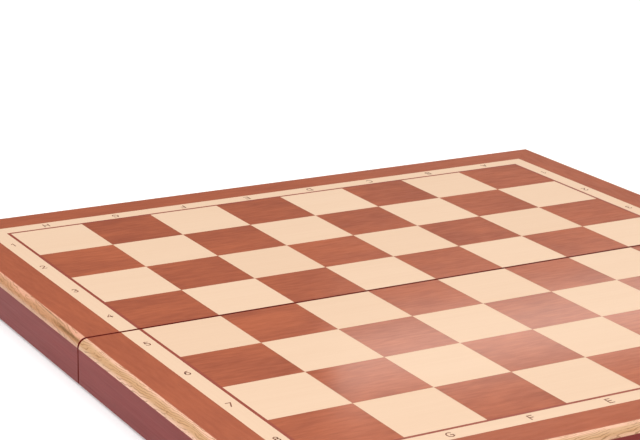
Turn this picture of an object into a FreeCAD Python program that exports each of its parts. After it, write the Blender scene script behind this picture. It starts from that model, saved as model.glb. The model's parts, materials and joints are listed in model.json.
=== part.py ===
import FreeCAD, Part
import os
from types import SimpleNamespace

import Sketcher

# A folding chess board, lying open.
# Each half is a shallow tray turned upside down: four rails carry a veneered panel, and the back of
# that panel is the tray's floor. Two hinges join the fold rails at their rims, so the far half folds
# under the near one, rim to rim, and two hooks on the end rails hold the closed box.
# Frame: +Z up, X along the fold, the near half on the -Y side. The origin is under the middle of the
# fold, level with the lowest point, which is the underside of the hinge knuckles.

# Driving dimensions in millimetres
SIZES = {
    # Playing surface, from the squares outwards
    "square": 50,
    "stringing_width": 2,
    "strip_width": 11,
    "border_width": 20.5,
    "veneer_thick": 0.6,
    "core_thick": 4,
    # Frame
    "half_height": 27,
    "rail_thick": 12,
    "fold_rail_thick": 12,
    "nose_radius": 5.5,
    "rim_ease": 0.6,
    "housing_depth": 4,
    "fold_gap": 1.2,
    "closing_gap": 0.4,
    # Lining
    "felt_thick": 1,
    "felt_margin": 0.5,
    # Hinges
    "hinge_inset": 89,
    "leaf_length": 40,
    "leaf_width": 11,
    "leaf_thick": 0.7,
    "knuckle_radius": 1.3,
    "knuckle_gap": 0.2,
    "knuckle_clearance": 0.3,
    "mortise_clearance": 0.3,
    "pin_radius": 0.65,
    "running_clearance": 0.05,
    # Hinge screws
    "leaf_screw_pitch": 13.5,
    "leaf_screw_line": 6.5,
    "leaf_screw_head": 1.9,
    "leaf_screw_radius": 1,
    "leaf_screw_shank": 8,
    "leaf_screw_tip": 2,
    "leaf_slot_depth": 0.35,
    # Hooks and catches
    "latch_inset": 129,
    "latch_drop": 9,
    "washer_radius": 3.6,
    "washer_thick": 0.6,
    "hook_thick": 1.2,
    "hook_play": 0.1,
    "hook_eye": 4,
    "hook_shank": 4.5,
    "hook_head": 5,
    "hook_tab_length": 5,
    "hook_tab_width": 2.6,
    "catch_clearance": 0.4,
    # Hook screws and catch screws
    "pivot_neck": 1.5,
    "catch_neck": 1.2,
    "latch_thread": 1.1,
    "latch_shank": 7,
    "latch_tip": 2,
    "button_radius": 2.9,
    "button_height": 1.6,
    "button_slot_depth": 0.6,
    # Shared by all screws and all cuts
    "slot_width": 0.5,
    "screw_clearance": 0.05,
    "overrun": 1,
}

# Counts and angles
FILES = 8
RANKS_PER_HALF = 4
KNUCKLES = 5
LEAF_SCREW_STEPS = (-1, 0, 1)
HOOK_SLOT_DEGREES = 60
HALF_TURN = 180

LEFT, RIGHT = -1, 1
ALONG_X = FreeCAD.Vector(1, 0, 0)
INTO_END = FreeCAD.Vector(0, 1, 0)
OUT_OF_END = FreeCAD.Vector(0, -1, 0)
UP = FreeCAD.Vector(0, 0, 1)

doc = FreeCAD.newDocument("folding_chess_board")
sheet = doc.addObject("Spreadsheet::Sheet", "sizes")
for row, (alias, number) in enumerate(SIZES.items(), start=1):
    sheet.set(f"A{row}", alias)
    sheet.set(f"B{row}", str(number))
    sheet.setAlias(f"B{row}", alias)
doc.recompute()

sub_parts = []


class Size:
    """A length, kept as an expression of the sheet's cells so that it can be bound to a property."""

    def __init__(self, text):
        self.text = str(text)

    def __add__(self, other):
        return Size(f"({self.text} + {other.text})")

    def __sub__(self, other):
        return Size(f"({self.text} - {other.text})")

    def __neg__(self):
        return Size(f"(-1 * {self.text})")

    def __mul__(self, factor):
        return Size(f"({self.text} * {getattr(factor, 'text', factor)})")

    def __truediv__(self, divisor):
        return Size(f"({self.text} / {getattr(divisor, 'text', divisor)})")

    @property
    def value(self):
        return float(sheet.evalExpression(self.text))


ZERO = Size(0)
sizes = SimpleNamespace(**{alias: Size(f"sizes.{alias}") for alias in SIZES})

# Plan: the board's outer faces lie at +side and -side along X and at +end and -end along Y
half_gap = sizes.fold_gap / 2
field_side = sizes.square * (FILES // 2)
field_end = half_gap + sizes.square * RANKS_PER_HALF
border_total = sizes.stringing_width + sizes.strip_width + sizes.border_width + sizes.nose_radius
side = field_side + border_total
end = field_end + border_total
inner_side = side - sizes.rail_thick
inner_end = end - sizes.rail_thick
inner_fold = half_gap + sizes.fold_rail_thick
hinge_x = side - sizes.hinge_inset
latch_x = side - sizes.latch_inset

# Heights, from the hinge axis up to the playing surface
pin_z = sizes.knuckle_radius
rim_z = pin_z + sizes.closing_gap / 2
top_z = rim_z + sizes.half_height
shoulder_z = top_z - sizes.nose_radius
veneer_z = top_z - sizes.veneer_thick
seat_z = veneer_z - sizes.core_thick
felt_z = seat_z - sizes.felt_thick

# Hooks: the closed box brings each catch straight below its hook's screw
latch_z = rim_z + sizes.latch_drop
hook_reach = sizes.latch_drop * 2 + sizes.closing_gap
hook_back = end + sizes.washer_thick + sizes.hook_play
hook_front = hook_back + sizes.hook_thick
button_seat = hook_front + sizes.hook_play


def mirrored(hand, size):
    """The size on the right hand, or its negative on the left hand."""
    return size if hand == RIGHT else -size


# Building blocks


def place(solid, corner):
    """Bind the solid's position to a corner given as three sizes."""
    for axis, size in zip("xyz", corner):
        solid.setExpression(f"Placement.Base.{axis}", size.text)
    return solid


def box(name, low, high):
    """A block between its low and its high corner."""
    block = doc.addObject("Part::Box", name)
    for edge, start, stop in zip(("Length", "Width", "Height"), low, high):
        block.setExpression(edge, (stop - start).text)
    return place(block, low)


def rod(name, foot, direction, radius, length):
    """A round rod from its foot along a direction."""
    cylinder = doc.addObject("Part::Cylinder", name)
    cylinder.setExpression("Radius", radius.text)
    cylinder.setExpression("Height", length.text)
    cylinder.Placement.Rotation = FreeCAD.Rotation(UP, direction)
    return place(cylinder, foot)


def taper(name, foot, direction, foot_radius, top_radius, length):
    """A round taper from its foot along a direction."""
    cone = doc.addObject("Part::Cone", name)
    cone.setExpression("Radius1", foot_radius.text)
    cone.setExpression("Radius2", top_radius.text)
    cone.setExpression("Height", length.text)
    cone.Placement.Rotation = FreeCAD.Rotation(UP, direction)
    return place(cone, foot)


def fuse(name, solids):
    """One solid out of several that touch or overlap."""
    union = doc.addObject("Part::MultiFuse", name)
    union.Shapes = solids
    return union


def cut(name, base, tools):
    """The base with all the tools taken out of it."""
    remainder = doc.addObject("Part::Cut", name)
    remainder.Base = base
    remainder.Tool = fuse(f"{name}_tools", tools) if len(tools) > 1 else tools[0]
    return remainder


def group(name, solids):
    """Several separate solids that make one sub-part."""
    compound = doc.addObject("Part::Compound", name)
    compound.Links = solids
    return compound


def origin_plane(body, role):
    """The body's own origin plane with that role."""
    return next(feature for feature in body.Origin.OriginFeatures if feature.Role == role)


def new_sketch(body, name, role, offset):
    """An empty sketch on an origin plane of the body, moved along the plane's normal."""
    sketch = body.newObject("Sketcher::SketchObject", name)
    sketch.AttachmentSupport = [(origin_plane(body, role), "")]
    sketch.MapMode = "FlatFace"
    sketch.setExpression("AttachmentOffset.Base.z", offset.text)
    return sketch


def fix_point(sketch, geometry, point, corner, tag):
    """Tie one point of a sketch to the sketch's origin by two sizes."""
    for kind, size in zip(("DistanceX", "DistanceY"), corner):
        name = f"{kind}_{tag}"
        index = sketch.addConstraint(Sketcher.Constraint(kind, -1, 1, geometry, point, size.value))
        sketch.renameConstraint(index, name)
        sketch.setExpression(f"Constraints.{name}", size.text)


def outline(body, name, role, offset, corners, round_edge=None):
    """A closed sketch through corners; the edge after corner round_edge[0] is an arc about a centre."""
    sketch = new_sketch(body, name, role, offset)
    points = [FreeCAD.Vector(x.value, y.value, 0) for x, y in corners]
    ends = []
    for index, start in enumerate(points):
        stop = points[(index + 1) % len(points)]
        if round_edge and index == round_edge[0]:
            centre = FreeCAD.Vector(round_edge[1][0].value, round_edge[1][1].value, 0)
            circle = Part.Circle(centre, UP, round_edge[2].value)
            first, last = circle.parameter(start), circle.parameter(stop)
            forward = (start - centre).cross(stop - centre).z > 0
            arc = Part.ArcOfCircle(circle, first, last) if forward else Part.ArcOfCircle(circle, last, first)
            geometry = sketch.addGeometry(arc)
            ends.append((geometry, 1, 2) if forward else (geometry, 2, 1))
        else:
            geometry = sketch.addGeometry(Part.LineSegment(start, stop))
            ends.append((geometry, 1, 2))
    for (before, _, before_end), (after, after_start, _) in zip(ends, ends[1:] + ends[:1]):
        sketch.addConstraint(Sketcher.Constraint("Coincident", before, before_end, after, after_start))
    for index, (geometry, start, _) in enumerate(ends):
        fix_point(sketch, geometry, start, corners[index], index)
    if round_edge:
        geometry = ends[round_edge[0]][0]
        radius = sketch.addConstraint(Sketcher.Constraint("Radius", geometry, round_edge[2].value))
        sketch.renameConstraint(radius, "radius")
        sketch.setExpression("Constraints.radius", round_edge[2].text)
    return sketch


def pad(body, sketch, length, both_ways=False):
    """Raise the sketch by a length, all of it along the normal or half to each side."""
    feature = body.newObject("PartDesign::Pad", f"{sketch.Name}_pad")
    feature.Profile = sketch
    feature.Midplane = both_ways
    feature.setExpression("Length", length.text)


def cut_upwards(body, sketch):
    """Take the sketch's outline out of everything above it."""
    feature = body.newObject("PartDesign::Pocket", f"{sketch.Name}_pocket")
    feature.Profile = sketch
    feature.Type = "ThroughAll"
    feature.Reversed = True


def drill(body, name, role, offset, centre, radius, depth):
    """A blind round hole that starts on an offset origin plane and runs against its normal."""
    sketch = new_sketch(body, name, role, offset)
    middle = FreeCAD.Vector(centre[0].value, centre[1].value, 0)
    circle = sketch.addGeometry(Part.Circle(middle, UP, radius.value))
    fix_point(sketch, circle, 3, centre, "centre")
    index = sketch.addConstraint(Sketcher.Constraint("Radius", circle, radius.value))
    sketch.renameConstraint(index, "radius")
    sketch.setExpression("Constraints.radius", radius.text)
    feature = body.newObject("PartDesign::Pocket", f"{name}_hole")
    feature.Profile = sketch
    feature.setExpression("Length", depth.text)


def plate(name, low_z, thick, corners):
    """A flat plate with a straight-sided outline in plan."""
    body = doc.addObject("PartDesign::Body", name)
    pad(body, outline(body, f"{name}_plan", "XY_Plane", low_z, corners), thick)
    return body


def sub_part(solid, label, turned=False):
    """Keep the solid as a sub-part; a turned one goes to the far half by a half turn about Z."""
    solid.Label = label
    if turned:
        solid.Placement = FreeCAD.Placement(FreeCAD.Vector(), FreeCAD.Rotation(UP, HALF_TURN))
    sub_parts.append(solid)


# Rails. Near-half coordinates serve both halves, because the far half is the near one turned about Z


def rail_section(body, name, role, offset, hand, outer):
    """Section of a side or end rail: an eased rim, a rounded nose and a rebate for the panel."""
    nose = outer - sizes.nose_radius
    inner = outer - sizes.rail_thick
    eased_z = rim_z + sizes.rim_ease
    corners = [
        (mirrored(hand, outer - sizes.rim_ease), rim_z),
        (mirrored(hand, outer), eased_z),
        (mirrored(hand, outer), shoulder_z),
        (mirrored(hand, nose), top_z),
        (mirrored(hand, nose), seat_z),
        (mirrored(hand, inner), seat_z),
        (mirrored(hand, inner), eased_z),
        (mirrored(hand, inner + sizes.rim_ease), rim_z),
    ]
    round_edge = (2, (mirrored(hand, nose), shoulder_z), sizes.nose_radius)
    return outline(body, name, role, offset, corners, round_edge)


def mitre_cut(body, name, hand, keeps_end):
    """Cut the corner mitre, which keeps either the end rail's part or the side rail's part."""
    outer = (mirrored(hand, side + sizes.overrun), -(end + sizes.overrun))
    inner = (mirrored(hand, inner_side - sizes.overrun), -(inner_end - sizes.overrun))
    waste = (outer[0], inner[1]) if keeps_end else (inner[0], outer[1])
    cut_upwards(body, outline(body, name, "XY_Plane", ZERO, [outer, waste, inner]))


def end_rail(name):
    """The rail opposite the fold, mitred at both ends and drilled for the hooks' or catches' screws."""
    body = doc.addObject("PartDesign::Body", name)
    pad(body, rail_section(body, f"{name}_section", "YZ_Plane", ZERO, LEFT, end), side * 2, both_ways=True)
    pilot_radius = sizes.latch_thread + sizes.screw_clearance
    pilot_depth = sizes.latch_shank + sizes.latch_tip + sizes.screw_clearance
    for hand in (LEFT, RIGHT):
        mitre_cut(body, f"{name}_mitre", hand, keeps_end=True)
        centre = (mirrored(hand, latch_x), latch_z)
        drill(body, f"{name}_pilot", "XZ_Plane", end, centre, pilot_radius, pilot_depth)
    return body


def side_rail(name, hand):
    """A rail from the end rail's mitre to the fold, rabbeted there for the fold rail's end."""
    body = doc.addObject("PartDesign::Body", name)
    pad(body, rail_section(body, f"{name}_section", "XZ_Plane", half_gap, hand, side), end - half_gap)
    mitre_cut(body, f"{name}_mitre", hand, keeps_end=False)
    near_x = mirrored(hand, inner_side - sizes.overrun)
    deep_x = mirrored(hand, inner_side + sizes.housing_depth)
    near_y = sizes.overrun - half_gap
    deep_y = -inner_fold
    corners = [(near_x, near_y), (deep_x, near_y), (deep_x, deep_y), (near_x, deep_y)]
    cut_upwards(body, outline(body, f"{name}_rabbet", "XY_Plane", ZERO, corners))
    return body


def fold_rail(name):
    """The rail at the fold, with a mortise, a knuckle groove and three pilot holes for each hinge."""
    reach = inner_side + sizes.housing_depth
    blank = box(f"{name}_blank", (-reach, -inner_fold, rim_z), (reach, -half_gap, seat_z))
    face = sizes.overrun - half_gap
    floor = rim_z - sizes.overrun
    mortise_back = -(sizes.leaf_width + sizes.mortise_clearance)
    groove_back = -(sizes.knuckle_radius + sizes.knuckle_clearance)
    groove_top = pin_z + sizes.knuckle_radius + sizes.knuckle_clearance
    half_length = sizes.leaf_length / 2 + sizes.mortise_clearance
    pilot_radius = sizes.leaf_screw_radius + sizes.screw_clearance
    pilot_length = sizes.leaf_thick + sizes.leaf_screw_shank + sizes.leaf_screw_tip + sizes.screw_clearance
    tools = []
    for hand in (LEFT, RIGHT):
        middle = mirrored(hand, hinge_x)
        low_x, high_x = middle - half_length, middle + half_length
        mortise_top = rim_z + sizes.leaf_thick
        tools.append(box(f"{name}_mortise", (low_x, mortise_back, floor), (high_x, face, mortise_top)))
        tools.append(box(f"{name}_groove", (low_x, groove_back, floor), (high_x, face, groove_top)))
        for x in leaf_screw_places(middle):
            foot = (x, -sizes.leaf_screw_line, rim_z)
            tools.append(rod(f"{name}_pilot", foot, UP, pilot_radius, pilot_length))
    return cut(name, blank, tools)


# Panel and veneers


def rectangle(low_x, high_x, low_y, high_y):
    """The four corners of a rectangle in plan."""
    return [(low_x, low_y), (high_x, low_y), (high_x, high_y), (low_x, high_y)]


def squares(name, is_dark):
    """Sixteen veneer squares of one colour; the square at the near left corner is dark."""
    tiles = []
    for rank in range(RANKS_PER_HALF):
        for file in range(FILES):
            if (rank + file) % 2 != int(is_dark):
                continue
            low_x = sizes.square * (file - FILES // 2)
            high_y = -(half_gap + sizes.square * rank)
            low = (low_x, high_y - sizes.square, veneer_z)
            high = (low_x + sizes.square, high_y, top_z)
            tiles.append(box(f"{name}_tile", low, high))
    return group(name, tiles)


def side_strip(name, hand, inner, outer):
    """A veneer strip beside the squares, from the fold to the mitred corner."""
    inner_x = mirrored(hand, field_side + inner)
    outer_x = mirrored(hand, field_side + outer)
    corners = [
        (inner_x, -half_gap),
        (outer_x, -half_gap),
        (outer_x, -(field_end + outer)),
        (inner_x, -(field_end + inner)),
    ]
    return plate(name, veneer_z, sizes.veneer_thick, corners)


def end_strip(name, inner, outer):
    """A veneer strip along the end of the half, mitred at both corners."""
    inner_x, outer_x = field_side + inner, field_side + outer
    inner_y, outer_y = -(field_end + inner), -(field_end + outer)
    corners = [(-inner_x, inner_y), (-outer_x, outer_y), (outer_x, outer_y), (inner_x, inner_y)]
    return plate(name, veneer_z, sizes.veneer_thick, corners)


# Hinges


def leaf_screw_places(middle):
    """Where along X the screws of one hinge leaf stand."""
    return [middle + sizes.leaf_screw_pitch * step for step in LEAF_SCREW_STEPS]


def hinge_leaf(name, middle, first_knuckle):
    """A leaf let into the rim, with every second knuckle, a pin bore and countersunk screw holes."""
    start = middle - sizes.leaf_length / 2
    pitch = sizes.leaf_length / KNUCKLES
    leaf_top = rim_z + sizes.leaf_thick
    leaf_end = start + sizes.leaf_length
    solids = [box(f"{name}_plate", (start, -sizes.leaf_width, rim_z), (leaf_end, ZERO, leaf_top))]
    bore_foot = (start - sizes.overrun, ZERO, pin_z)
    bore_radius = sizes.pin_radius + sizes.running_clearance
    bore_length = sizes.leaf_length + sizes.overrun * 2
    tools = [rod(f"{name}_bore", bore_foot, ALONG_X, bore_radius, bore_length)]
    notch_back = -(sizes.knuckle_radius + sizes.knuckle_clearance)
    for knuckle in range(KNUCKLES):
        low_x, high_x = start + pitch * knuckle, start + pitch * (knuckle + 1)
        if knuckle % 2 == first_knuckle:
            foot = (low_x + sizes.knuckle_gap / 2, ZERO, pin_z)
            length = pitch - sizes.knuckle_gap
            solids.append(rod(f"{name}_knuckle", foot, ALONG_X, sizes.knuckle_radius, length))
        else:
            low_x = low_x - sizes.overrun if knuckle == 0 else low_x
            high_x = high_x + sizes.overrun if knuckle == KNUCKLES - 1 else high_x
            low = (low_x, notch_back, rim_z - sizes.overrun)
            tools.append(box(f"{name}_notch", low, (high_x, sizes.overrun, leaf_top + sizes.overrun)))
    head_radius = sizes.leaf_screw_head + sizes.screw_clearance
    shank_radius = sizes.leaf_screw_radius + sizes.screw_clearance
    for x in leaf_screw_places(middle):
        foot = (x, -sizes.leaf_screw_line, rim_z)
        tools.append(taper(f"{name}_countersink", foot, UP, head_radius, shank_radius, sizes.leaf_thick))
    return cut(name, fuse(f"{name}_blank", solids), tools)


def leaf_screw(name, x):
    """A slotted countersunk wood screw, driven upwards through a leaf, its head flush with the rim."""
    y = -sizes.leaf_screw_line
    shank_z = rim_z + sizes.leaf_thick
    tip_z = shank_z + sizes.leaf_screw_shank
    radius = sizes.leaf_screw_radius
    solids = [
        taper(f"{name}_head", (x, y, rim_z), UP, sizes.leaf_screw_head, radius, sizes.leaf_thick),
        rod(f"{name}_shank", (x, y, shank_z), UP, radius, sizes.leaf_screw_shank),
        taper(f"{name}_tip", (x, y, tip_z), UP, radius, ZERO, sizes.leaf_screw_tip),
    ]
    reach = sizes.leaf_screw_head + sizes.overrun
    low = (x - reach, y - sizes.slot_width / 2, rim_z - sizes.overrun)
    high = (x + reach, y + sizes.slot_width / 2, rim_z + sizes.leaf_slot_depth)
    return cut(name, fuse(f"{name}_blank", solids), [box(f"{name}_slot", low, high)])


# Hooks and catches, on the outer faces of the end rails


def button_screw(name, x, neck_radius):
    """A slotted round-head screw in the end rail, whose neck holds the head off the wood."""
    centre = (x, -end, latch_z)
    dome_radius = (sizes.button_radius * sizes.button_radius + sizes.button_height * sizes.button_height) / (
        sizes.button_height * 2
    )
    dome_depth = dome_radius - sizes.button_height
    dome = doc.addObject("Part::Sphere", f"{name}_dome")
    dome.setExpression("Radius", dome_radius.text)
    dome.setExpression("Angle1", f"asin({(dome_depth / dome_radius).text})")
    dome.Placement.Rotation = FreeCAD.Rotation(UP, OUT_OF_END)
    place(dome, (x, dome_depth - button_seat, latch_z))
    tip_foot = (x, sizes.latch_shank - end, latch_z)
    solids = [
        dome,
        rod(f"{name}_neck", centre, OUT_OF_END, neck_radius, button_seat - end),
        rod(f"{name}_shank", centre, INTO_END, sizes.latch_thread, sizes.latch_shank),
        taper(f"{name}_tip", tip_foot, INTO_END, sizes.latch_thread, ZERO, sizes.latch_tip),
    ]
    crown = button_seat + sizes.button_height
    reach = sizes.button_radius + sizes.overrun
    low = (x - reach, -(crown + sizes.overrun), latch_z - sizes.slot_width / 2)
    high = (x + reach, sizes.button_slot_depth - crown, latch_z + sizes.slot_width / 2)
    return cut(name, fuse(f"{name}_blank", solids), [box(f"{name}_slot", low, high)])


def washer(name, x):
    """The washer that keeps the hook off the wood."""
    disc = rod(f"{name}_disc", (x, -end, latch_z), OUT_OF_END, sizes.washer_radius, sizes.washer_thick)
    bore_foot = (x, sizes.overrun - end, latch_z)
    bore_radius = sizes.pivot_neck + sizes.running_clearance
    bore = rod(f"{name}_bore", bore_foot, OUT_OF_END, bore_radius, sizes.washer_thick + sizes.overrun * 2)
    return cut(name, disc, [bore])


def hook_slot(name, x):
    """The hook's slot: an arc about the hook's screw, so that the catch slides straight into it."""
    half_width = sizes.catch_neck + sizes.catch_clearance
    foot_y = -(hook_front + sizes.overrun)
    length = sizes.hook_thick + sizes.overrun * 2
    sector = rod(f"{name}_sector", (x, foot_y, latch_z), INTO_END, hook_reach + half_width, length)
    sector.Placement.Rotation = FreeCAD.Rotation(ALONG_X, -HALF_TURN / 2)
    sector.Angle = HOOK_SLOT_DEGREES
    hub = rod(f"{name}_hub", (x, foot_y, latch_z), INTO_END, hook_reach - half_width, length)
    seat = rod(f"{name}_seat", (x + hook_reach, foot_y, latch_z), INTO_END, half_width, length)
    return [cut(f"{name}_way", sector, [hub]), seat]


def hook(name, x):
    """A flat hook that points along +X when the board is open, its mouth downwards."""
    back, front = -hook_back, -hook_front
    tip_x = x + hook_reach
    half_shank = sizes.hook_shank / 2
    tab_radius = sizes.hook_tab_width / 2
    tab_x = tip_x + sizes.hook_head + sizes.hook_tab_length
    tab_top = latch_z + half_shank
    tab_low = tab_top - sizes.hook_tab_width
    solids = [
        rod(f"{name}_eye", (x, back, latch_z), OUT_OF_END, sizes.hook_eye, sizes.hook_thick),
        box(f"{name}_shank", (x, front, latch_z - half_shank), (tip_x, back, latch_z + half_shank)),
        rod(f"{name}_head", (tip_x, back, latch_z), OUT_OF_END, sizes.hook_head, sizes.hook_thick),
        box(f"{name}_tab", (tip_x, front, tab_low), (tab_x, back, tab_top)),
        rod(f"{name}_tab_end", (tab_x, back, tab_top - tab_radius), OUT_OF_END, tab_radius, sizes.hook_thick),
    ]
    bore_radius = sizes.pivot_neck + sizes.running_clearance
    bore_foot = (x, sizes.overrun - hook_back, latch_z)
    throat_z = latch_z - sizes.hook_head - sizes.overrun
    throat_low = (x + sizes.hook_eye, -(hook_front + sizes.overrun), throat_z)
    throat_high = (tip_x, sizes.overrun - hook_back, latch_z - half_shank)
    tools = [
        rod(f"{name}_bore", bore_foot, OUT_OF_END, bore_radius, sizes.hook_thick + sizes.overrun * 2),
        box(f"{name}_throat", throat_low, throat_high),
        *hook_slot(f"{name}_slot", x),
    ]
    return cut(name, fuse(f"{name}_blank", solids), tools)


# Assembly


def build_half(half, turned):
    """Every sub-part of one half that the other half has too."""
    stringing_outer = sizes.stringing_width
    strip_outer = stringing_outer + sizes.strip_width
    border_outer = strip_outer + sizes.border_width
    strips = {
        "stringing": (ZERO, stringing_outer),
        "notation_strip": (stringing_outer, strip_outer),
        "border_veneer": (strip_outer, border_outer),
    }
    sub_part(end_rail(f"{half}_end_rail"), f"{half}_end_rail", turned)
    sub_part(fold_rail(f"{half}_fold_rail"), f"{half}_fold_rail", turned)
    panel_x = side - sizes.nose_radius
    panel_plan = rectangle(-panel_x, panel_x, sizes.nose_radius - end, -half_gap)
    sub_part(plate(f"{half}_panel_core", seat_z, sizes.core_thick, panel_plan), f"{half}_panel_core", turned)
    felt_x = inner_side - sizes.felt_margin
    felt_plan = rectangle(-felt_x, felt_x, sizes.felt_margin - inner_end, -(inner_fold + sizes.felt_margin))
    sub_part(plate(f"{half}_felt_lining", felt_z, sizes.felt_thick, felt_plan), f"{half}_felt_lining", turned)
    sub_part(squares(f"{half}_dark_squares", True), f"{half}_dark_squares", turned)
    sub_part(squares(f"{half}_light_squares", False), f"{half}_light_squares", turned)
    for strip, (inner, outer) in strips.items():
        sub_part(end_strip(f"{half}_end_{strip}", inner, outer), f"{half}_end_{strip}", turned)
    for hand in (LEFT, RIGHT):
        place_name = "left" if (hand == LEFT) != turned else "right"
        sub_part(side_rail(f"{half}_{place_name}_rail", hand), f"{half}_{place_name}_rail", turned)
        for strip, (inner, outer) in strips.items():
            name = f"{half}_{place_name}_{strip}"
            sub_part(side_strip(name, hand, inner, outer), name, turned)
        name = f"{place_name}_hinge_{half}_leaf"
        first_knuckle = int(turned)
        sub_part(hinge_leaf(name, mirrored(hand, hinge_x), first_knuckle), name, turned)
    screws = []
    for hand in (LEFT, RIGHT):
        for x in leaf_screw_places(mirrored(hand, hinge_x)):
            screws.append(leaf_screw(f"{half}_leaf_screw", x))
    sub_part(group(f"{half}_hinge_screws", screws), f"{half}_hinge_screws", turned)


def build_fittings(hand, name):
    """The pin of one hinge, and one hook with its screw, its washer and its catch."""
    pin_start = mirrored(hand, hinge_x) - sizes.leaf_length / 2
    pin = rod(f"{name}_hinge_pin", (pin_start, ZERO, pin_z), ALONG_X, sizes.pin_radius, sizes.leaf_length)
    sub_part(pin, f"{name}_hinge_pin")
    x = mirrored(hand, latch_x)
    sub_part(hook(f"{name}_hook", x), f"{name}_hook")
    sub_part(washer(f"{name}_hook_washer", x), f"{name}_hook_washer")
    sub_part(button_screw(f"{name}_hook_screw", x, sizes.pivot_neck), f"{name}_hook_screw")
    sub_part(button_screw(f"{name}_catch_screw", -x, sizes.catch_neck), f"{name}_catch_screw", turned=True)


def write_parts():
    """Check every object and every sub-part, then write one file for each sub-part."""
    failed = [item.Label for item in doc.Objects if {"Invalid", "Error"} & set(item.State)]
    if failed:
        raise RuntimeError(f"failed objects: {failed}")
    for solid in sub_parts:
        if solid.Shape.isNull() or not solid.Shape.isValid():
            raise RuntimeError(f"bad shape: {solid.Label}")
    os.makedirs("parts", exist_ok=True)
    for solid in sub_parts:
        solid.Shape.exportStep(f"parts/{solid.Label}.step")
        print(f"{solid.Label}: {len(solid.Shape.Solids)} solids, {solid.Shape.Volume:.1f} mm3")


build_half("near", turned=False)
build_half("far", turned=True)
build_fittings(LEFT, "left")
build_fittings(RIGHT, "right")
doc.recompute()
write_parts()
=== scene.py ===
"""Dresses the folding chess board: moulded rails, veneered playing surface, felt linings and brass fittings.

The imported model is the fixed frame. Lengths are in metres. X runs along the fold, Y across it from the near
half to the far half, and Z up from the floor on which the open board lies.
"""

import json
import logging
from dataclasses import dataclass, field, replace
from enum import Enum
from typing import Any, NamedTuple

import bmesh
import bpy
import numpy as np
from mathutils import Matrix, Quaternion, Vector

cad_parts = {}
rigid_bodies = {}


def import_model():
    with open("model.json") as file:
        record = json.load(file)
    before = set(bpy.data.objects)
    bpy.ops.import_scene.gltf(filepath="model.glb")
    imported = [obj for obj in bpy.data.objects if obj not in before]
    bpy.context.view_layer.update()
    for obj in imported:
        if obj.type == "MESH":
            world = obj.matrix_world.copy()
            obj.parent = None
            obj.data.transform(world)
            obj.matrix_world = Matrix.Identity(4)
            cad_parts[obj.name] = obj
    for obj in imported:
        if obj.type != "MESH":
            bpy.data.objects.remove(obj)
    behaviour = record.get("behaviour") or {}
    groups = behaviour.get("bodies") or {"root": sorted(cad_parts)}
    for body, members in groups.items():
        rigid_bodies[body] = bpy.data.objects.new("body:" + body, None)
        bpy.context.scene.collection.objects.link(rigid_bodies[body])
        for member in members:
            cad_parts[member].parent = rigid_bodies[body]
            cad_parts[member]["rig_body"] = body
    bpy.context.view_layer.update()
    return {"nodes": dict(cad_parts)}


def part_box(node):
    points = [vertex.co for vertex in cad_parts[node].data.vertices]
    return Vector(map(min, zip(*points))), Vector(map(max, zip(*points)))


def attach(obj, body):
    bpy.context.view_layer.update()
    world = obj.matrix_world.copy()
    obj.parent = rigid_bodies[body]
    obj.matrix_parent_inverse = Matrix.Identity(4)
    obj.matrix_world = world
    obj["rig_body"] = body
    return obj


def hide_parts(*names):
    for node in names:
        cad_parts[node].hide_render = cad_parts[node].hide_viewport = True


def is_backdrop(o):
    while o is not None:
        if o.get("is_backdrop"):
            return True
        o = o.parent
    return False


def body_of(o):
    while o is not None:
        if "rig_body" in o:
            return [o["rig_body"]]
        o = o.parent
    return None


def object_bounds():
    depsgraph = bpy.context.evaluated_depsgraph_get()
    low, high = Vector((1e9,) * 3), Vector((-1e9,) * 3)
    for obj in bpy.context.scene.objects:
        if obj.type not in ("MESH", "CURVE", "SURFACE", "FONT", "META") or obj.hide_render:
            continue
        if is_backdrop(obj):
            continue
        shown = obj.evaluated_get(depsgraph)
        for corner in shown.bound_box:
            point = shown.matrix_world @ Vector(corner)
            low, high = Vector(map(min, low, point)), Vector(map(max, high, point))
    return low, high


LOG = logging.getLogger("folding_board")
MM = 0.001
WELD_REACH = 0.001 * MM
Colour = tuple[float, float, float]
Point = tuple[float, float, float]
Socket = bpy.types.NodeSocket
Sockets = dict[str, Socket]


class Half(Enum):
    """The two halves of the board. The value is the side of the fold on which the half lies."""

    NEAR = -1.0
    FAR = 1.0

    @property
    def body(self) -> str:
        """Name of the body that carries this half."""
        return f"{self.name.lower()}_half"

    def node(self, piece: str) -> str:
        """Name of this half's node for a piece."""
        return f"{self.name.lower()}_{piece}"


class Edge(Enum):
    """The three outer edges of a half. The value is the edge's side of the board along X."""

    LEFT = -1.0
    END = 0.0
    RIGHT = 1.0

    def piece(self, kind: str) -> str:
        """Name of a kind of piece at this edge."""
        return f"{self.name.lower()}_{kind}"


class Mapped(Enum):
    """What a finish follows: the board's own axes, or the run of the piece."""

    BOARD = "Object"
    RUN = "UV"


class Band(NamedTuple):
    """A smooth change: the values between which it happens, and its result before and after."""

    start: float
    end: float
    before: float = 0.0
    after: float = 1.0


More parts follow.
